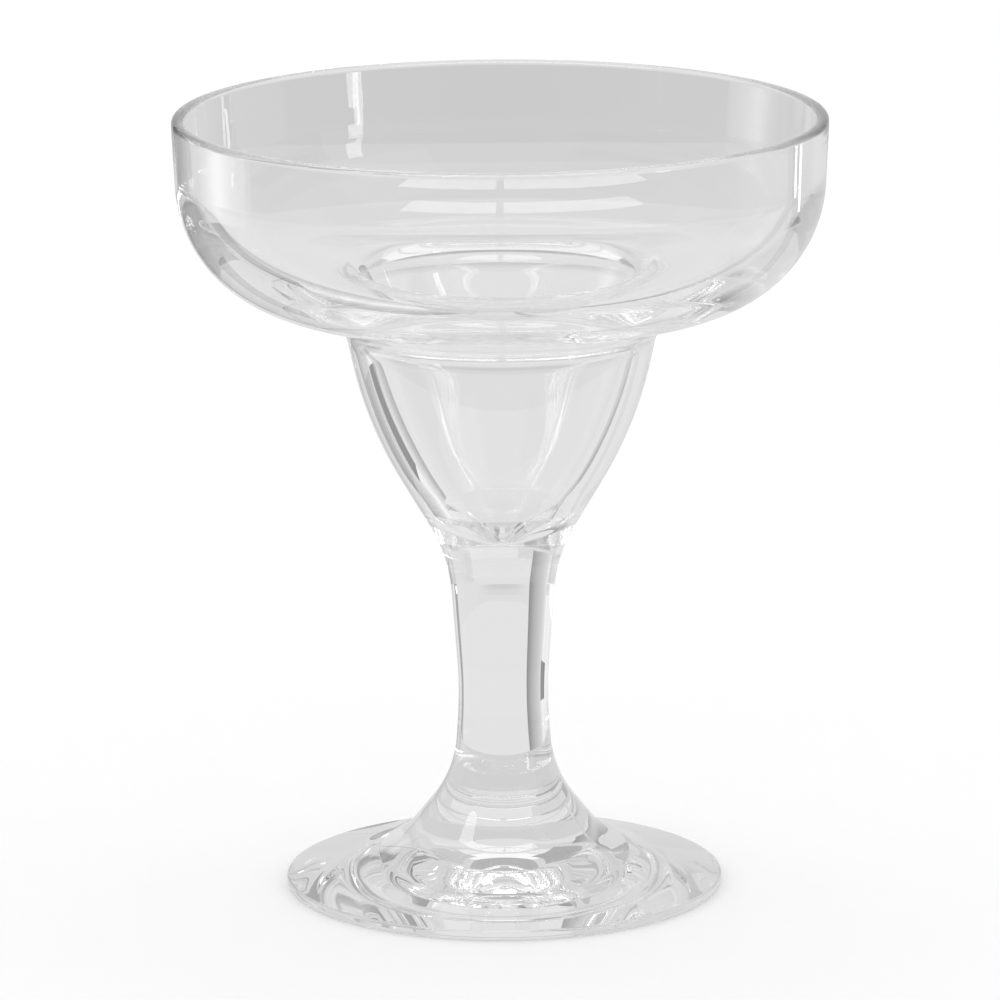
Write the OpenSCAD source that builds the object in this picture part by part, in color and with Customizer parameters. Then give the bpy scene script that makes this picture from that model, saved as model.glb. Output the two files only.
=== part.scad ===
// A margarita glass: a wide bowl over a narrow cup, on a waisted solid stem and a round foot.
// Lengths are in millimetres. The glass stands on the plane z = 0 and its axis is the Z axis.
// Bowl, stem and foot are one turned outline, cut at the two planes where the pieces are fused.

/* [Bowl] */
// Outside diameter at the rim
rim_d = 115.6; // [108:0.2:124]
// Outside diameter at the corner where the wall turns into the floor of the bowl
bowl_corner_d = 112.8; // [106:0.2:116]
// Height of the rim above the throat
bowl_depth = 36.4; // [34:0.2:42]
// Rise of the bowl's floor from the throat to the corner
bowl_floor_rise = 6.6; // [5:0.1:9]
// Radius of the curve between wall and floor
bowl_corner_fillet = 23.5; // [18:0.5:25]
// Thickness of the upright wall
wall_t = 2.2; // [1.6:0.1:3]
// Height above the throat of the inside corner between wall and floor
inner_corner_rise = 11.4; // [10.4:0.1:12.6]
// Radius of the inside curve between wall and floor
inner_corner_fillet = 20; // [16:0.5:22]
// Rounding of the two edges of the rim
rim_fillet = 0.7; // [0.3:0.1:0.8]

/* [Cup] */
// Outside diameter at the throat between bowl and cup
throat_d = 55.8; // [52:0.2:60]
// Radius of the hollow curve round the throat
throat_fillet = 7.1; // [5:0.1:9]
// Thickness of the wall at the throat, measured level
throat_wall_t = 2.7; // [2:0.1:3.4]
// Height of the floor's inside edge above the throat
throat_floor_t = 4.2; // [3.4:0.1:5]
// Radius of the curve round that edge
inner_throat_fillet = 4; // [2:0.5:6]
// Height of the throat above the stem
cup_h = 43.1; // [40:0.1:48]
// Outside diameter at the shoulder, where the cup starts to draw in
shoulder_d = 49; // [46:0.2:51]
// Height of the shoulder above the stem
shoulder_h = 25.1; // [22:0.1:27]
// Radius of the swelling curve at the shoulder
shoulder_fillet = 72; // [50:1:80]
// Thickness of the wall at the shoulder
shoulder_wall_t = 3; // [2.4:0.1:4]
// Diameter of the edge where the inside wall meets the pointed floor
floor_d = 21.4; // [19:0.2:23]
// Height of that edge above the stem
floor_h = 9.6; // [9:0.1:10.4]
// Radius of the curve between inside wall and floor
floor_fillet = 0.8; // [0.4:0.1:1.4]
// Diameter of the blunter tip at the middle of the floor
tip_d = 5; // [4:0.2:6]
// Height of the tip's edge above the stem
tip_edge_h = 5.7; // [5.2:0.1:6.2]
// Height of the tip's lowest point above the stem
tip_h = 4.7; // [4:0.1:5]

/* [Stem] */
// Length of the stem between the two fused faces
stem_h = 39.9; // [36:0.1:50]
// Diameter where the stem meets the cup
neck_d = 19.3; // [18:0.1:20.5]
// Radius of the hollow curve there
neck_fillet = 28; // [20:1:30]
// Diameter at the waist
waist_d = 15.5; // [13:0.1:17]
// Height of the waist above the foot
waist_h = 14.7; // [11:0.1:18]
// Radius of the long curve at the waist
waist_fillet = 80; // [60:1:90]

/* [Foot] */
// Diameter of the foot
foot_d = 78; // [72:0.2:84]
// Height of the foot, up to its fused face
foot_h = 20.2; // [18.5:0.1:23]
// Diameter of the foot where the stem meets it
stem_base_d = 17.9; // [16.5:0.1:19]
// Radius of the hollow curve there
stem_base_fillet = 20.5; // [14:0.5:22]
// Diameter at the middle of the flare
flare_d = 34.6; // [32:0.2:37]
// Height at the middle of the flare
flare_h = 9.8; // [9:0.1:11]
// Radius of the hollow curve of the flare
flare_fillet = 10.9; // [8:0.1:12]
// Diameter where the flare runs out into the flat part
apron_d = 53; // [50:0.2:56]
// Height where the flare runs out
apron_h = 4.4; // [4:0.1:5]
// Radius of the curve there
apron_fillet = 20; // [14:1:24]
// Thickness of the foot at its edge
edge_t = 1.7; // [1.5:0.1:2.4]
// Rounding of the edge's upper corner
edge_top_fillet = 0.5; // [0.3:0.1:0.6]
// Rounding of the edge's lower corner
edge_bottom_fillet = 0.8; // [0.4:0.1:0.8]

/* [Hollow under the foot] */
// Width of the flat ring that the glass stands on
ring_w = 1.2; // [0.8:0.1:2]
// Diameter of the dome's mouth
dome_d = 40; // [36:0.2:44]
// Height of the dome's mouth
dome_mouth_h = 0.4; // [0.2:0.1:0.7]
// Rounding of the dome's mouth
dome_mouth_fillet = 0.6; // [0.3:0.1:2]
// Diameter where the dome gets flatter
dome_mid_d = 26; // [22:0.2:30]
// Height of the dome there
dome_mid_h = 2; // [1.6:0.1:2.3]
// Radius of the curve there
dome_mid_fillet = 12; // [4:1:16]
// Diameter of the flat disc at the top of the dome
disc_d = 10; // [8:0.2:12]
// Height of that disc
disc_h = 2.9; // [2.5:0.1:3.4]
// Radius of the curve round the disc
disc_fillet = 10; // [2:1:14]

/* [Hidden] */
// Largest turn of a curve between two of its points, in degrees
arc_step = 5;
// Roundness of the turned pieces
$fn = 96;
// Heights above the table of the two fused faces, the throat and the rim
stem_z = foot_h;
cup_z = foot_h + stem_h;
throat_z = cup_z + cup_h;
rim_z = throat_z + bowl_depth;
// Inner edge of the flat ring that the glass stands on
ring_inner_d = foot_d - 2 * (edge_bottom_fillet + ring_w);
// How far a cutting shape runs past what it cuts
overrun = wall_t;

// A corner is [radius from the axis, height, fillet]. A path runs with the glass on its left.
function place(c) = [c[0], c[1]];
function unit(v) = v / norm(v);
function left_of(v) = [-v[1], v[0]];
// Directions of the side that reaches corner i and of the side that leaves it
function side_in(path, i) = unit(place(path[i]) - place(path[i - 1]));
function side_out(path, i) = side_in(path, i + 1);
// Angle that the path turns through at corner i, positive to the left
function turn(path, i) =
    let (a = side_in(path, i), b = side_out(path, i))
    atan2(a[0] * b[1] - a[1] * b[0], a * b);
// Length of a side that the fillet of corner i takes up
function reach(path, i) =
    i == 0 || i == len(path) - 1 ? 0 : path[i][2] * abs(tan(turn(path, i) / 2));
// Share of its two fillets that the side reaching corner i has room for
function room_share(path, i) =
    let (used = reach(path, i - 1) + reach(path, i))
    let (side = norm(place(path[i]) - place(path[i - 1])))
    used > side ? side / used : 1;
// Points of the round stretch at corner i, or the corner itself where it is sharp
function corner_points(path, i) =
    let (fillet = path[i][2] * min(room_share(path, i), room_share(path, i + 1)))
    let (angle = turn(path, i), steps = ceil(abs(angle) / arc_step))
    let (start = place(path[i]) - side_in(path, i) * fillet * abs(tan(angle / 2)))
    let (to_centre = left_of(side_in(path, i)) * fillet * sign(angle))
    let (from = atan2(-to_centre[1], -to_centre[0]))
    fillet * angle == 0 ? [place(path[i])] :
    [for (k = [0 : steps])
        let (at = from + angle * k / steps)
        start + to_centre + fillet * [cos(at), sin(at)]];
// Path with each corner between its ends rounded by that corner's fillet
function rounded(path) = concat(
    [place(path[0])],
    [for (i = [1 : len(path) - 2]) each corner_points(path, i)],
    [place(path[len(path) - 1])]
);
// Corner i moved into the glass by a wall's thickness, with the fillet that keeps the wall even
function inside_corner(path, i, wall) =
    let (a = left_of(side_in(path, i)), b = left_of(side_out(path, i)))
    let (at = place(path[i]) + wall * (a + b) / (1 + a * b))
    [at[0], at[1], max(path[i][2] - wall * sign(turn(path, i)), 0)];

// Underside, from the middle of the dome out to the ring that the glass stands on
underside = [
    [0, disc_h, 0],
    [disc_d / 2, disc_h, disc_fillet],
    [dome_mid_d / 2, dome_mid_h, dome_mid_fillet],
    [dome_d / 2, dome_mouth_h, dome_mouth_fillet],
    [ring_inner_d / 2, 0, 0]
];
// Outside of the foot and stem, from the table up
foot_and_stem = [
    [foot_d / 2, 0, edge_bottom_fillet],
    [foot_d / 2, edge_t, edge_top_fillet],
    [apron_d / 2, apron_h, apron_fillet],
    [flare_d / 2, flare_h, flare_fillet],
    [stem_base_d / 2, stem_z, stem_base_fillet],
    [waist_d / 2, stem_z + waist_h, waist_fillet]
];
// Outside of the cup and bowl, from the stem up
cup_and_bowl = [
    [neck_d / 2, cup_z, neck_fillet],
    [shoulder_d / 2, cup_z + shoulder_h, shoulder_fillet],
    [throat_d / 2, throat_z, throat_fillet],
    [bowl_corner_d / 2, throat_z + bowl_floor_rise, bowl_corner_fillet],
    [rim_d / 2, rim_z, rim_fillet]
];
// Where the last list holds these corners
shoulder_at = 1;
rim_at = 4;
// Direction of the leaning wall, up to the rim
wall_way = side_in(cup_and_bowl, rim_at);
// Thickness of that wall, measured level across the rim
rim_t = wall_t / wall_way[1];
// How far the wall leans out between the inside corner and the rim
inner_lean = (bowl_depth - inner_corner_rise) * wall_way[0] / wall_way[1];
// Inside, from the rim down to the tip in the floor of the cup
inside = [
    [rim_d / 2 - rim_t, rim_z, rim_fillet],
    [rim_d / 2 - rim_t - inner_lean, throat_z + inner_corner_rise, inner_corner_fillet],
    [throat_d / 2 - throat_wall_t, throat_z + throat_floor_t, inner_throat_fillet],
    inside_corner(cup_and_bowl, shoulder_at, shoulder_wall_t),
    [floor_d / 2, cup_z + floor_h, floor_fillet],
    [tip_d / 2, cup_z + tip_edge_h, tip_d / 2],
    [0, cup_z + tip_h, 0]
];

// Half of the section through the whole glass, cut to the heights of one piece
module half_section(low, high) {
    intersection() {
        polygon(rounded(concat(underside, foot_and_stem, cup_and_bowl, inside)));
        translate([0, low])
            square([max(rim_d, foot_d) / 2 + overrun, high - low]);
    }
}

// Wide bowl and the cup under it, blown as one wall, with the thick floor of the cup
module bowl() {
    color([0.86, 0.89, 0.9, 0.5])
        rotate_extrude()
            half_section(cup_z, rim_z + overrun);
}

// Solid stem, drawn in at the waist, fused to the bowl above and to the foot below
module stem() {
    color([0.8, 0.84, 0.86, 0.5])
        rotate_extrude()
            half_section(stem_z, cup_z);
}

// Round foot with its flare, standing on a flat ring round a shallow dome
module foot() {
    color([0.86, 0.89, 0.9, 0.5])
        rotate_extrude()
            half_section(-overrun, stem_z);
}

bowl();
stem();
foot();
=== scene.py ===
"""A clear margarita glass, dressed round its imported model.

The glass is round about the Z axis and stands on the plane z = 0. Sizes in the classes are real
millimetres, and every mesh is scaled to metres once it is turned. The bowl, the stem and the foot are
three pieces whose flat faces are fused together, so light passes from one to the next as through one
block of glass.
"""

import logging
import math
from dataclasses import dataclass, field
from enum import Enum
from typing import ClassVar

import bmesh
import bpy
from mathutils import Matrix, Vector


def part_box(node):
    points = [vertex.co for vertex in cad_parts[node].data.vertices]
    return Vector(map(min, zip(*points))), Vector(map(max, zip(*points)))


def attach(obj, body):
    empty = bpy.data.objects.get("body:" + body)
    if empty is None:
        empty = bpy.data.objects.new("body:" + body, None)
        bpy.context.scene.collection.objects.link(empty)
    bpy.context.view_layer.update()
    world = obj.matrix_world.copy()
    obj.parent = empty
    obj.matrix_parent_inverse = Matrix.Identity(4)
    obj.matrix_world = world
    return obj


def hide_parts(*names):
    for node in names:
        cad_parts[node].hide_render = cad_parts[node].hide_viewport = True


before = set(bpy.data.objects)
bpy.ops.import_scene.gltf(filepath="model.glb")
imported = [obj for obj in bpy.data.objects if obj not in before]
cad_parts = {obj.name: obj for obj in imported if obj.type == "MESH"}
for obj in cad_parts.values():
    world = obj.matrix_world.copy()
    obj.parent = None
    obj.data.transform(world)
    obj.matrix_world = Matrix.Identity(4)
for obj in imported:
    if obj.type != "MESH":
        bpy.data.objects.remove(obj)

# Metres in a millimetre
MM = 0.001
ORIGIN = (0.0, 0.0, 0.0)
UP = (0.0, 0.0, 1.0)
WHITE = (1.0, 1.0, 1.0, 1.0)
# Names of the one body and of the layer that holds how bright a sheet is
BODY = "root"
GLOW_LAYER = "glow"
LOG = logging.getLogger("margarita_glass")


def linear(hex_colour: str) -> tuple[float, float, float, float]:
    """Turn an sRGB colour into the linear values that a shader takes.

    Args:
        hex_colour: six hex digits, such as "F4F8F7".

    Returns:
        Linear red, green and blue, with an alpha of 1.
    """
    parts = [int(hex_colour[i:i + 2], 16) / 255 for i in (0, 2, 4)]
    return (*[p / 12.92 if p <= 0.04045 else ((p + 0.055) / 1.055) ** 2.4 for p in parts], 1.0)


def add_node(tree: bpy.types.NodeTree, kind: str, settings: dict | None = None, links: dict | None = None,
             ) -> bpy.types.Node:
    """Add a node to a tree.

    Args:
        tree: the node tree.
        kind: the node's type name.
        settings: value of each input, by name or number, or of each property that isn't an input.
        links: socket that feeds each input, by the input's name or number.

    Returns:
        The new node.
    """
    node = tree.nodes.new(kind)
    for name, value in (settings or {}).items():
        if isinstance(name, int) or name in node.inputs:
            node.inputs[name].default_value = value
        else:
            setattr(node, name, value)
    for name, socket in (links or {}).items():
        tree.links.new(socket, node.inputs[name])
    return node


@dataclass(frozen=True)
class Corner:
    """One corner of a turned outline: its radius, its height and the radius that rounds it."""

    radius: float
    height: float
    fillet: float = 0.0

    @property
    def place(self) -> Vector:
        """Where the corner lies, in the plane through the axis."""
        return Vector((self.radius, 0.0, self.height))


class Outline:
    """Half a section of a turned piece, drawn with a pen: straight sides, and arcs spun about centres."""

    # Largest turn of an arc between two of its points, and fewest parts of an arc
    ARC_STEP: ClassVar[float] = math.radians(1.5)
    ARC_PARTS: ClassVar[int] = 2
    # Smallest turn, in radians, that is rounded
    BEND: ClassVar[float] = 1e-4
    # How far apart two places may be and still count as one, and two heights as level
    SAME_MM: ClassVar[float] = 1e-4
    LEVEL_MM: ClassVar[float] = 0.01

    def __init__(self, start: Corner) -> None:
        """Put the pen down.

        Args:
            start: the first corner, which isn't rounded.
        """
        self.mesh = bmesh.new()
        self.pen = self.mesh.verts.new(start.place)

    def line_to(self, place: Vector) -> None:
        """Draw a straight side.

        Args:
            place: where the side ends.
        """
        if (place - self.pen.co).length < self.SAME_MM:
            return
        made = bmesh.ops.extrude_vert_indiv(self.mesh, verts=[self.pen])
        end = made["verts"][0]
        bmesh.ops.translate(self.mesh, verts=[end], vec=place - self.pen.co)
        self.pen = end

    def arc(self, centre: Vector, turn: float) -> None:
        """Draw a round stretch about a centre.

        Args:
            centre: centre of the arc.
            turn: how far the outline turns, in radians, positive to the left.
        """
        steps = max(self.ARC_PARTS, math.ceil(abs(turn) / self.ARC_STEP))
        made = bmesh.ops.spin(self.mesh, geom=[self.pen], cent=centre, axis=(0.0, -1.0, 0.0), angle=turn,
                              steps=steps)
        self.pen = next(v for v in made["geom_last"] if isinstance(v, bmesh.types.BMVert))

    def follow(self, corners: list[Corner]) -> "Outline":
        """Draw through corners, rounding each but the last.

        Args:
            corners: the corners after the one where the pen is.

        Returns:
            This outline.
        """
        came_from = self.pen.co.copy()
        for corner, after in zip(corners[:-1], corners[1:]):
            into = (corner.place - came_from).normalized()
            out = (after.place - corner.place).normalized()
            turn = math.atan2(into.x * out.z - into.z * out.x, into.dot(out))
            if corner.fillet > 0 and abs(turn) > self.BEND:
                start = corner.place - into * corner.fillet * abs(math.tan(turn / 2))
                to_left = Vector((-into.z, 0.0, into.x)) * math.copysign(corner.fillet, turn)
                self.line_to(start)
                self.arc(start + to_left, turn)
            else:
                self.line_to(corner.place)
            came_from = corner.place
        self.line_to(corners[-1].place)
        return self

    def keep_between(self, low: float, high: float) -> None:
        """Cut the outline at two heights, and close each cut with a level side to the axis.

        A height that the outline only reaches, such as the rim's, needs no cut.

        Args:
            low: height of the lower cut.
            high: height of the upper cut.
        """
        for height, up in ((low, 1.0), (high, -1.0)):
            if all((vert.co.z - height) * up > -self.LEVEL_MM for vert in self.mesh.verts):
                continue
            everything = self.mesh.verts[:] + self.mesh.edges[:]
            bmesh.ops.bisect_plane(self.mesh, geom=everything, dist=self.SAME_MM,
                                   plane_co=(0.0, 0.0, height), plane_no=(0.0, 0.0, up), clear_inner=True)
            ends = [v for v in self.mesh.verts if len(v.link_edges) == 1 and v.co.x > self.SAME_MM]
            for end in ends:
                self.pen = end
                self.line_to(Vector((0.0, 0.0, height)))


def move_in(before: Corner, corner: Corner, after: Corner, wall: float) -> Corner:
    """Move a corner into the glass by a wall's thickness.

    Args:
        before: the corner before it, with the glass on the left of the way.
        corner: the corner to move.
        after: the corner after it.
        wall: thickness of the wall, square to both sides.

    Returns:
        The inside corner, with the fillet that keeps the wall even round it.
    """
    into = (corner.place - before.place).normalized()
    out = (after.place - corner.place).normalized()
    left = [Vector((-side.z, 0.0, side.x)) for side in (into, out)]
    place = corner.place + (left[0] + left[1]) * wall / (1 + left[0].dot(left[1]))
    turn = into.x * out.z - into.z * out.x
    return Corner(place.x, place.z, max(corner.fillet - math.copysign(wall, turn), 0.0))


@dataclass(frozen=True)
class Seam:
    """The fine ridge on the flare of the foot, left on both sides where the halves of the mould met.

    It reaches from one distance from the axis to another, on the upper side only, and fades at both ends.
    Its bearing is in degrees, seen from the axis: 0 is the camera's side, 90 is the right of the picture.
    """

    bearing_deg: float = 60.5
    reach: tuple[float, float] = (12.2, 20.3)
    above: float = 3.4
    width: float = 0.55
    height: float = 0.16

    def raise_on(self, mesh: bmesh.types.BMesh) -> None:
        """Raise the ridge on both sides of a turned foot.

        Args:
            mesh: the foot, in millimetres.
        """
        bearing = math.radians(self.bearing_deg)
        across = Vector((math.cos(bearing), math.sin(bearing), 0.0))
        near, far = self.reach
        for offset in (-self.width / 2, 0.0, self.width / 2):
            flare = [face for face in mesh.faces if near < face.calc_center_median().xy.length < far
                     and face.calc_center_median().z > self.above]
            edges = dict.fromkeys(edge for face in flare for edge in face.edges)
            verts = dict.fromkeys(vert for face in flare for vert in face.verts)
            bmesh.ops.bisect_plane(mesh, geom=[*verts, *edges, *flare], dist=Outline.SAME_MM,
                                   plane_co=across * offset, plane_no=across)
        mesh.normal_update()
        crest = [v for v in mesh.verts if abs(v.co.dot(across)) < Outline.SAME_MM and v.co.z > self.above
                 and near < v.co.xy.length < far]
        fades = [math.sqrt(math.sin(math.pi * (vert.co.xy.length - near) / (far - near))) for vert in crest]
        # All the moves are worked out before the first, because each move turns the normals beside it
        moves = [vert.normal * self.height * fade for vert, fade in zip(crest, fades)]
        for vert, move in zip(crest, moves):
            bmesh.ops.translate(mesh, verts=[vert], vec=move)


@dataclass
class Foot:
    """Round foot with its flare, hollow underneath, on a flat ring."""

    diameter: float = 78.0
    edge_thickness: float = 1.7
    edge_fillets: tuple[float, float] = (0.8, 0.5)
    apron: Corner = Corner(26.5, 4.4, 20.0)
    flare: Corner = Corner(17.3, 9.8, 10.9)
    neck_radius: float = 8.95
    neck_fillet: float = 20.5
    ring_width: float = 1.2
    dome_mouth: Corner = Corner(20.0, 0.4, 0.6)
    dome_middle: Corner = Corner(13.0, 2.0, 12.0)
    disc: Corner = Corner(5.0, 2.9, 10.0)
    seam: Seam = Seam()

    def underside(self) -> list[Corner]:
        """List the corners from the middle of the dome out to the ring that the glass stands on.

        Returns:
            The corners, with the glass on the left of the way.
        """
        ring_inside = self.diameter / 2 - self.edge_fillets[0] - self.ring_width
        return [
            Corner(0.0, self.disc.height),
            self.disc,
            self.dome_middle,
            self.dome_mouth,
            Corner(ring_inside, 0.0),
        ]

    def outside(self, height: float) -> list[Corner]:
        """List the corners from the table up to the face that is fused to the stem.

        Args:
            height: height of that face.

        Returns:
            The corners, with the glass on the left of the way.
        """
        edge = self.diameter / 2
        return [
            Corner(edge, 0.0, self.edge_fillets[0]),
            Corner(edge, self.edge_thickness, self.edge_fillets[1]),
            self.apron,
            self.flare,
            Corner(self.neck_radius, height, self.neck_fillet),
        ]


@dataclass
class Stem:
    """Solid stem, drawn in at the waist."""

    waist: Corner = Corner(7.75, 34.9, 80.0)

    def outside(self) -> list[Corner]:
        """The one corner that the stem has of its own."""
        return [self.waist]


@dataclass
class Bowl:
    """Wide bowl and narrow cup, one wall with a thick pointed floor."""

    rim_radius: float = 57.8
    # Nearly a full round, which gives the rim its grey band
    rim_fillet: float = 1.05
    wall: float = 2.2
    corner: Corner = Corner(56.4, 109.8, 23.5)
    throat: Corner = Corner(27.9, 103.2, 7.1)
    shoulder: Corner = Corner(24.5, 85.2, 72.0)
    shoulder_wall: float = 3.0
    inner_corner_height: float = 114.6
    inner_corner_fillet: float = 20.0
    inner_throat: Corner = Corner(25.2, 107.4, 4.0)
    neck_radius: float = 9.65
    neck_fillet: float = 28.0
    floor: Corner = Corner(10.7, 69.7, 0.8)
    tip_edge: Corner = Corner(2.5, 65.8, 2.5)
    tip_height: float = 64.8

    def outside(self, low: float, rim: float) -> list[Corner]:
        """List the corners from the face that is fused to the stem up to the rim.

        Args:
            low: height of the fused face.
            rim: height of the rim.

        Returns:
            The corners, with the glass on the left of the way.
        """
        return [
            Corner(self.neck_radius, low, self.neck_fillet),
            self.shoulder,
            self.throat,
            self.corner,
            Corner(self.rim_radius, rim, self.rim_fillet),
        ]

    def inside(self, low: float, rim: float) -> list[Corner]:
        """List the corners from the rim down to the tip in the floor of the cup.

        Args:
            low: height of the fused face.
            rim: height of the rim.

        Returns:
            The corners, with the glass on the left of the way.
        """
        neck, shoulder, throat, corner, edge = self.outside(low, rim)
        upright = (edge.place - corner.place).normalized()
        inner_edge = Corner(edge.radius - self.wall / upright.z, rim, self.rim_fillet)
        lean = (rim - self.inner_corner_height) * upright.x / upright.z
        return [
            inner_edge,
            Corner(inner_edge.radius - lean, self.inner_corner_height, self.inner_corner_fillet),
            self.inner_throat,
            move_in(neck, shoulder, throat, self.shoulder_wall),
            self.floor,
            self.tip_edge,
            Corner(0.0, self.tip_height),
        ]


@dataclass(frozen=True)
class PressedGlass:
    """Pressed and fire-polished soda-lime glass.

    It is clear and glossy. The mould leaves long, very faint waves in it, which make straight lights wavy.
    """

    tint: str = "FEFEFE"
    ior: float = 1.52
    wave_mm: float = 16.0
    wave_height_mm: float = 0.05

    def make(self, name: str) -> bpy.types.Material:
        """Make the material.

        Args:
            name: the material's name.

        Returns:
            The material.
        """
        material = bpy.data.materials.new(name)
        material.use_nodes = True
        tree = material.node_tree
        shader = tree.nodes["Principled BSDF"]
        shader.inputs["Base Color"].default_value = linear(self.tint)
        shader.inputs["Transmission Weight"].default_value = 1.0
        shader.inputs["Roughness"].default_value = 0.0
        shader.inputs["IOR"].default_value = self.ior
        place = add_node(tree, "ShaderNodeTexCoord")
        waves = add_node(tree, "ShaderNodeTexNoise", {"Scale": 1 / (self.wave_mm * MM), "Detail": 0.0},
                         {"Vector": place.outputs["Object"]})
        bump = add_node(tree, "ShaderNodeBump", {"Strength": 1.0, "Distance": self.wave_height_mm * MM},
                        {"Height": waves.outputs["Fac"]})
        tree.links.new(bump.outputs["Normal"], shader.inputs["Normal"])
        return material


@dataclass(frozen=True)
class FusedFace:
    """A face inside solid glass, where two pieces were fused hot: nothing of it can be seen."""

    def make(self, name: str) -> bpy.types.Material:
        """Make the material.

        Args:
            name: the material's name.

        Returns:
            The material.
        """
        material = bpy.data.materials.new(name)
        material.use_nodes = True
        material.node_tree.nodes["Principled BSDF"].inputs["Alpha"].default_value = 0.0
        return material


@dataclass
class Glass:
    """The whole glass: three turned pieces, cut from one outline at the two fused faces."""

    foot: Foot = field(default_factory=Foot)
    stem: Stem = field(default_factory=Stem)
    bowl: Bowl = field(default_factory=Bowl)
    turns: int = 128

    # Place of the fused faces' finish in the list of finishes
    FUSED: ClassVar[int] = 1

    def outline(self) -> Outline:
        """Draw half the section of the whole glass.

        Returns:
            The outline, with the glass on its left.
        """
        stem_low, stem_high = (corner.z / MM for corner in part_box("stem"))
        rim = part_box("bowl")[1].z / MM
        corners = self.foot.underside() + self.foot.outside(stem_low) + self.stem.outside()
        corners += self.bowl.outside(stem_high, rim) + self.bowl.inside(stem_high, rim)
        return Outline(corners[0]).follow(corners[1:])

    def mark_faces(self, mesh: bmesh.types.BMesh) -> None:
        """Shade a piece smooth, and mark its fused faces and the edges round them.

        Args:
            mesh: the turned piece, in millimetres.
        """
        planes = [corner.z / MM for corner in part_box("stem")]
        for face in mesh.faces:
            face.smooth = True
            if any(all(abs(v.co.z - plane) < Outline.SAME_MM for v in face.verts) for plane in planes):
                face.material_index = self.FUSED
        for edge in mesh.edges:
            edge.smooth = len({face.material_index for face in edge.link_faces}) == 1

    def turn(self, name: str, finishes: list[bpy.types.Material]) -> bpy.types.Object:
        """Turn one piece and seat it on the frame.

        Args:
            name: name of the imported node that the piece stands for.
            finishes: the glass, and the fused faces inside it.

        Returns:
            The piece.
        """
        low, high = (corner.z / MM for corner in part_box(name))
        outline = self.outline()
        outline.keep_between(low, high)
        mesh = outline.mesh
        bmesh.ops.spin(mesh, geom=mesh.verts[:] + mesh.edges[:], cent=ORIGIN, axis=UP, angle=math.tau,
                       steps=self.turns, use_merge=True)
        bmesh.ops.remove_doubles(mesh, verts=mesh.verts[:], dist=Outline.SAME_MM)
        bmesh.ops.recalc_face_normals(mesh, faces=mesh.faces[:])
        if name == "foot":
            self.foot.seam.raise_on(mesh)
        self.mark_faces(mesh)
        bmesh.ops.scale(mesh, vec=(MM, MM, MM), verts=mesh.verts[:])
        piece = bpy.data.objects.new(f"{name}_glass", bpy.data.meshes.new(f"{name}_glass"))
        mesh.to_mesh(piece.data)
        mesh.free()
        for finish in finishes:
            piece.data.materials.append(finish)
        bpy.context.scene.collection.objects.link(piece)
        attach(piece, BODY)
        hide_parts(name)
        return piece


def set_up(name: str, mesh: bmesh.types.BMesh, finish: bpy.types.Material) -> None:
    """Put a light or a sheet in the studio, as part of the stage, where only the glass shows it.

    Args:
        name: the object's name.
        mesh: its shape, in millimetres.
        finish: what it is made of.
    """
    bmesh.ops.scale(mesh, vec=(MM, MM, MM), verts=mesh.verts[:])
    thing = bpy.data.objects.new(name, bpy.data.meshes.new(name))
    mesh.to_mesh(thing.data)
    mesh.free()
    thing.data.materials.append(finish)
    bpy.context.scene.collection.objects.link(thing)
    thing.visible_camera = False
    thing.visible_diffuse = False
    thing.visible_shadow = False


class Stand(Enum):
    """How a sheet of paper is set up in the studio."""

    ROUND = "curved round the glass, standing between two heights given in degrees"
    FLAT = "flat on the table, lying between two distances given in millimetres"


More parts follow.
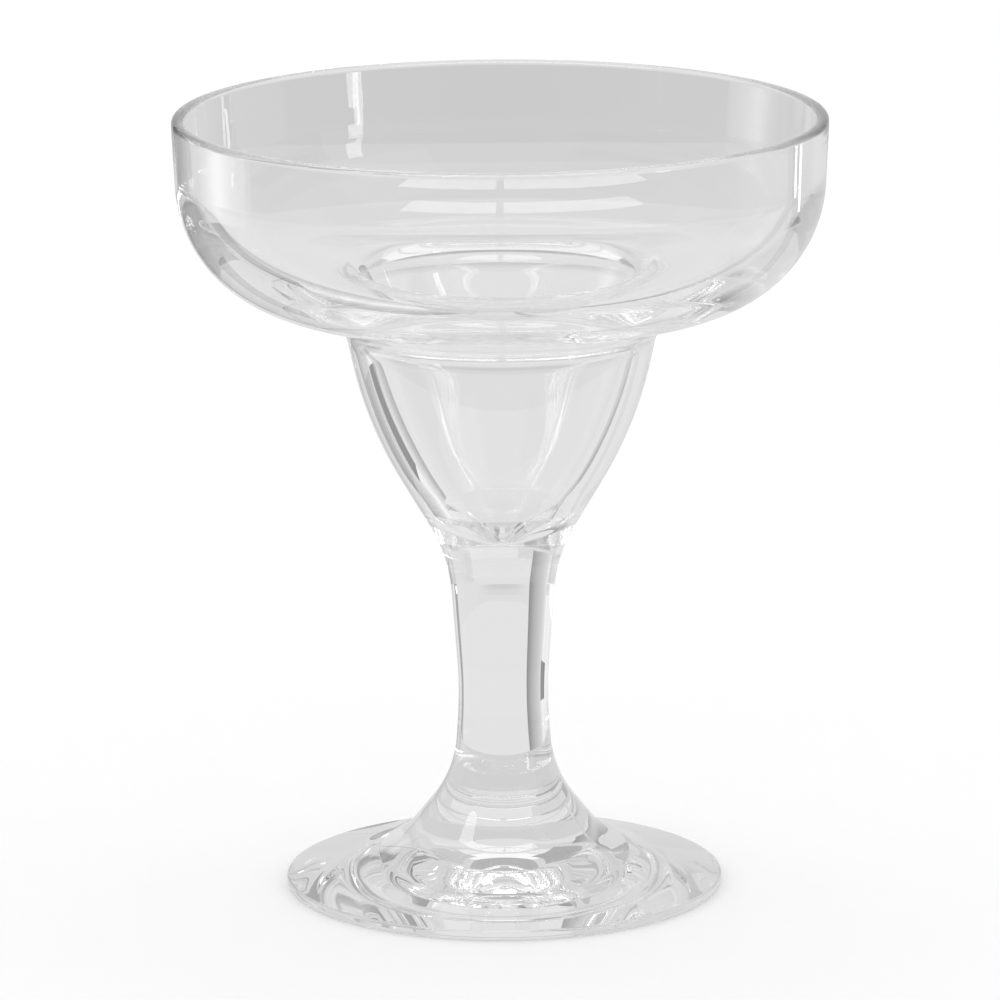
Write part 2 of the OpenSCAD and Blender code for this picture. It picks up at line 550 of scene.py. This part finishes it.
@dataclass(frozen=True)
class Sheet:
    """A sheet of paper or cloth in the studio, lit or dark, that only shows in the glass.

    Bearings are in degrees, seen from the glass: 0 is the camera's side, 90 is the right of the picture.
    A sheet with several glows fades from each to the next between its bearings, as cloth near a lamp does.
    A flat sheet lies just above the table, and one that lies on other sheets lies higher than they do.
    """

    name: str
    stand: Stand
    bearings: tuple[float, float]
    reach: tuple[float, float]
    glow: tuple[float, ...]
    distance_mm: float = 1500.0
    level_mm: float = -0.05

    # Angle between two points of a curved sheet
    STEP_DEG: ClassVar[float] = 1.5
    WHOLE_TURN_DEG: ClassVar[float] = 360.0
    # How far before the first bearing a point may lie without being taken for one a whole turn past it
    SLACK_DEG: ClassVar[float] = 1.0

    def edge(self) -> bmesh.types.BMesh:
        """Draw one side of the sheet, from its near or lower end to the other, on the camera's side.

        Returns:
            The side, in millimetres.
        """
        mesh = bmesh.new()
        near, far = self.reach
        if self.stand is Stand.ROUND:
            start = mesh.verts.new((0.0, -self.distance_mm, 0.0))
            bmesh.ops.rotate(mesh, verts=[start], cent=ORIGIN,
                             matrix=Matrix.Rotation(math.radians(-near), 3, "X"))
            bmesh.ops.spin(mesh, geom=[start], cent=ORIGIN, axis=(-1.0, 0.0, 0.0),
                           angle=math.radians(far - near), steps=math.ceil((far - near) / self.STEP_DEG))
        else:
            start = mesh.verts.new((0.0, -near, self.level_mm))
            made = bmesh.ops.extrude_vert_indiv(mesh, verts=[start])
            bmesh.ops.translate(mesh, verts=made["verts"], vec=(0.0, near - far, 0.0))
        return mesh

    def glow_at(self, bearing: float) -> float:
        """Tell how bright the sheet is at a bearing.

        Args:
            bearing: the bearing, in degrees.

        Returns:
            The glow there, between the two glows on either side of it.
        """
        first, last = self.bearings
        past_first = (bearing - first + self.SLACK_DEG) % self.WHOLE_TURN_DEG - self.SLACK_DEG
        along = past_first / (last - first) * (len(self.glow) - 1)
        step = min(max(int(along), 0), max(len(self.glow) - 2, 0))
        after = min(step + 1, len(self.glow) - 1)
        return self.glow[step] + (self.glow[after] - self.glow[step]) * (along - step)

    def build(self, finish: bpy.types.Material) -> None:
        """Set the sheet up.

        Args:
            finish: what the sheet is made of.
        """
        mesh = self.edge()
        first, last = self.bearings
        bmesh.ops.rotate(mesh, verts=mesh.verts[:], cent=ORIGIN,
                         matrix=Matrix.Rotation(math.radians(first), 3, "Z"))
        bmesh.ops.spin(mesh, geom=mesh.verts[:] + mesh.edges[:], cent=ORIGIN, axis=UP,
                       angle=math.radians(last - first), steps=math.ceil((last - first) / self.STEP_DEG),
                       use_merge=last - first >= self.WHOLE_TURN_DEG)
        bmesh.ops.remove_doubles(mesh, verts=mesh.verts[:], dist=Outline.SAME_MM)
        glow = mesh.verts.layers.float.new(GLOW_LAYER)
        for vert in mesh.verts:
            vert[glow] = self.glow_at(math.degrees(math.atan2(vert.co.x, -vert.co.y)))
        set_up(self.name, mesh, finish)


@dataclass(frozen=True)
class SoftBox:
    """A level soft light that hangs over the glass, and only shows in it.

    Its sides are in millimetres from the glass: to the right of the picture, and towards the back.
    """

    name: str
    across: tuple[float, float]
    back: tuple[float, float]
    glow: tuple[float, ...]
    height_mm: float = 1500.0

    def build(self, finish: bpy.types.Material) -> None:
        """Hang the light.

        Args:
            finish: what its front is made of.
        """
        mesh = bmesh.new()
        # A square of one millimetre, drawn out to the light's sides
        bmesh.ops.create_grid(mesh, x_segments=1, y_segments=1, size=0.5)
        (left, right), (front, back) = self.across, self.back
        bmesh.ops.scale(mesh, vec=(right - left, back - front, 1.0), verts=mesh.verts[:])
        middle = ((left + right) / 2, (front + back) / 2, self.height_mm)
        bmesh.ops.translate(mesh, verts=mesh.verts[:], vec=middle)
        set_up(self.name, mesh, finish)


@dataclass(frozen=True)
class LitPaper:
    """Matt paper or cloth near a lamp. Only its glow can be seen, so it has no gloss of its own."""

    glow: tuple[float, ...]

    def make(self, name: str) -> bpy.types.Material:
        """Make the material.

        Args:
            name: the material's name.

        Returns:
            The material.
        """
        material = bpy.data.materials.new(name)
        material.use_nodes = True
        tree = material.node_tree
        tree.nodes.clear()
        glow = add_node(tree, "ShaderNodeEmission", {"Color": WHITE, "Strength": self.glow[0]})
        if len(self.glow) > 1:
            fade = add_node(tree, "ShaderNodeAttribute", {"attribute_name": GLOW_LAYER})
            tree.links.new(fade.outputs["Fac"], glow.inputs["Strength"])
        add_node(tree, "ShaderNodeOutputMaterial", links={"Surface": glow.outputs["Emission"]})
        return material


@dataclass(frozen=True)
class PaintedTable:
    """Matt white paint on board: even, without gloss, and white enough to take the object's soft shadow."""

    colour: str = "E7E7E7"
    lift: float = 0.22

    def make(self, name: str) -> bpy.types.Material:
        """Make the material.

        Args:
            name: the material's name.

        Returns:
            The material.
        """
        material = bpy.data.materials.new(name)
        material.use_nodes = True
        shader = material.node_tree.nodes["Principled BSDF"]
        shader.inputs["Base Color"].default_value = linear(self.colour)
        shader.inputs["Roughness"].default_value = 1.0
        shader.inputs["Specular IOR Level"].default_value = 0.0
        shader.inputs["Emission Color"].default_value = WHITE
        shader.inputs["Emission Strength"].default_value = self.lift
        return material


ROUND, FLAT = Stand.ROUND, Stand.FLAT
SHEETS = (
    # The tent of white cloth all round, brighter behind the glass
    Sheet("tent", ROUND, (-180.0, 180.0), (0.0, 90.0), (0.69,), 2200.0),
    Sheet("tent_back_low", ROUND, (157.0, 201.5), (0.0, 14.0), (0.77,), 2100.0),
    Sheet("tent_back", ROUND, (157.0, 190.0), (14.0, 24.0), (0.8,), 2100.0),
    Sheet("tent_back_high", ROUND, (157.0, 203.0), (40.0, 52.0), (1.0,), 2100.0),
    Sheet("tent_back_top", ROUND, (120.0, 240.0), (52.0, 72.0), (0.45,), 2100.0),
    Sheet("tent_back_right", ROUND, (118.0, 150.0), (0.0, 27.0), (0.72,), 2000.0),
    Sheet("tent_back_right_high", ROUND, (138.0, 166.0), (28.0, 46.0), (0.6,), 2000.0),
    Sheet("tent_back_left_high", ROUND, (-166.0, -138.0), (26.0, 46.0), (0.42,), 2000.0),
    Sheet("tent_front_right_high", ROUND, (30.0, 75.0), (30.0, 55.0), (1.0,), 2000.0),
    Sheet("tent_front_left_high", ROUND, (-75.0, -30.0), (30.0, 50.0), (0.45,), 2000.0),
    Sheet("tent_front_left", ROUND, (-70.0, -30.0), (6.0, 20.0), (0.5,), 2000.0),
    # The paper sweep on the table
    # Painted shadow: the sweep under the foot glows less than the rest of it, for the glass's shade on the
    # table
    Sheet("sweep_shadow_under_foot", FLAT, (-180.0, 180.0), (0.0, 39.0), (0.65,)),
    Sheet("sweep_front", FLAT, (-97.0, 90.0), (39.0, 400.0), (0.8,)),
    Sheet("sweep_front_middle", FLAT, (-97.0, 90.0), (400.0, 700.0), (0.7,)),
    Sheet("sweep_front_far", FLAT, (-97.0, 90.0), (700.0, 2200.0), (0.6,)),
    Sheet("sweep_back", FLAT, (128.5, 201.5), (39.0, 340.0), (0.78,)),
    Sheet("sweep_back_middle", FLAT, (160.0, 201.5), (340.0, 950.0), (0.74,)),
    Sheet("sweep_back_far", FLAT, (160.0, 201.5), (950.0, 2200.0), (0.76,)),
    Sheet("sweep_back_right_far", FLAT, (128.5, 160.0), (340.0, 2200.0), (0.75,)),
    Sheet("dark_seam_right", FLAT, (120.5, 128.5), (39.0, 2200.0), (0.4,)),
    Sheet("sweep_right", FLAT, (90.0, 120.5), (39.0, 2200.0), (0.85,)),
    # A grey cloth on the sweep behind the glass, which fades to its sides and its front
    Sheet("grey_cloth_front", FLAT, (162.0, 198.0), (410.0, 530.0), (0.74, 0.69, 0.68, 0.69, 0.74),
          level_mm=0.5),
    Sheet("grey_cloth_edge", FLAT, (162.0, 198.0), (530.0, 580.0), (0.74, 0.67, 0.65, 0.67, 0.74),
          level_mm=0.5),
    Sheet("grey_cloth", FLAT, (162.0, 198.0), (580.0, 950.0), (0.74, 0.63, 0.6, 0.63, 0.74),
          level_mm=0.5),
    # Dark curtain behind the glass on the left, which fades to the right of the picture
    Sheet("dark_curtain_low", FLAT, (-158.5, -133.0), (39.0, 2200.0), (0.25, 0.45, 0.55, 0.65, 0.85)),
    Sheet("dark_curtain", ROUND, (-158.5, -133.0), (0.0, 22.0), (0.3, 0.45, 0.55, 0.65, 0.85), 1900.0),
    Sheet("dark_card_left", FLAT, (-136.0, -124.0), (108.0, 250.0), (0.2,), level_mm=0.5),
    # Big soft light low down on the left
    Sheet("soft_light_left_near", FLAT, (-133.0, -97.0), (39.0, 450.0), (0.95,)),
    Sheet("soft_light_left", FLAT, (-133.0, -97.0), (450.0, 1400.0), (0.6, 1.0, 2.1, 1.5, 1.1)),
    Sheet("soft_light_left_far", FLAT, (-133.0, -97.0), (1400.0, 2200.0), (1.0,)),
    # Painted shade in the corners of the tent, left and right, where the white cloth glows less
    Sheet("tent_corner_shade_right", ROUND, (72.0, 118.0), (0.0, 28.0), (0.25, 0.3, 0.35, 0.5), 1900.0),
    Sheet("tent_corner_shade_left", ROUND, (-97.0, -70.0), (2.0, 25.0), (0.5,), 1900.0),
    # Narrow lamp on the right with its light on the table, and a thin light on the table further back
    Sheet("narrow_lamp_foot", FLAT, (53.6, 60.0), (940.0, 2200.0), (5.0,), level_mm=0.5),
    Sheet("narrow_lamp_stand", FLAT, (54.2, 56.6), (600.0, 940.0), (5.5,), level_mm=0.5),
    Sheet("narrow_lamp", ROUND, (54.0, 60.0), (2.0, 14.0), (5.5,), 1400.0),
    Sheet("thin_lamp_right", FLAT, (125.5, 127.5), (500.0, 1000.0), (4.0,), level_mm=0.5),
    # Low strip of light behind the glass
    Sheet("back_strip", ROUND, (166.0, 194.0), (30.0, 38.0), (0.85,), 1600.0),
)
SOFT_BOXES = (
    # Two long soft lights overhead, side by side with a narrow gap
    SoftBox("overhead_left", (-1250.0, -25.0), (-560.0, -230.0), (4.0,)),
    SoftBox("overhead_right", (25.0, 700.0), (-560.0, -230.0), (4.0,)),
)


@dataclass
class Studio:
    """Camera, table and light."""

    lens_mm: float = 263.0
    sensor_mm: float = 36.0
    sight_m: float = 100.0
    eye_mm: tuple[float, float, float] = (-0.4, -1263.9, 365.16)
    pitch_deg: float = 13.144
    roll_deg: float = -0.332
    table_mm: float = 12000.0
    table_height_mm: float = -0.1
    bounces: int = 48

    def aim(self) -> None:
        """Set the camera where the photograph was taken from."""
        camera = bpy.data.objects.new("camera", bpy.data.cameras.new("camera"))
        camera.data.lens = self.lens_mm
        camera.data.sensor_width = self.sensor_mm
        camera.data.clip_end = self.sight_m
        camera.location = Vector(self.eye_mm) * MM
        camera.rotation_mode = "ZYX"
        camera.rotation_euler = (math.radians(90 - self.pitch_deg), 0.0, math.radians(self.roll_deg))
        bpy.context.scene.collection.objects.link(camera)
        bpy.context.scene.camera = camera

    def lay_table(self) -> None:
        """Lay the white table that the glass stands on."""
        mesh = bmesh.new()
        bmesh.ops.create_grid(mesh, x_segments=1, y_segments=1, size=self.table_mm / 2)
        bmesh.ops.translate(mesh, verts=mesh.verts[:], vec=(0.0, 0.0, self.table_height_mm))
        bmesh.ops.scale(mesh, vec=(MM, MM, MM), verts=mesh.verts[:])
        table = bpy.data.objects.new("table", bpy.data.meshes.new("table"))
        mesh.to_mesh(table.data)
        mesh.free()
        table.data.materials.append(PaintedTable().make("matt_white_paint_on_board"))
        bpy.context.scene.collection.objects.link(table)

    def light(self) -> None:
        """Light the room evenly, set up the sheets, and let light go all the way through the glass."""
        scene = bpy.context.scene
        scene.world = bpy.data.worlds.new("even_white_room")
        scene.world.use_nodes = True
        scene.world.node_tree.nodes["Background"].inputs["Color"].default_value = WHITE
        for light in SHEETS + SOFT_BOXES:
            light.build(LitPaper(light.glow).make(f"lit_paper_{light.name}"))
        for limit in ("max_bounces", "transmission_bounces", "glossy_bounces", "transparent_max_bounces"):
            setattr(scene.cycles, limit, self.bounces)


def main() -> None:
    """Build the glass and its studio, and report each piece."""
    logging.basicConfig(level=logging.INFO, format="%(name)s: %(message)s")
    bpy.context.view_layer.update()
    bpy.context.scene.view_settings.view_transform = "Standard"
    studio = Studio()
    studio.aim()
    finishes = [PressedGlass().make("pressed_soda_lime_glass"), FusedFace().make("fused_face_inside_glass")]
    glass = Glass()
    for name in ("bowl", "stem", "foot"):
        piece = glass.turn(name, finishes)
        LOG.info("%s: %d faces", piece.name, len(piece.data.polygons))
    studio.lay_table()
    studio.light()


if __name__ == "__main__":
    main()
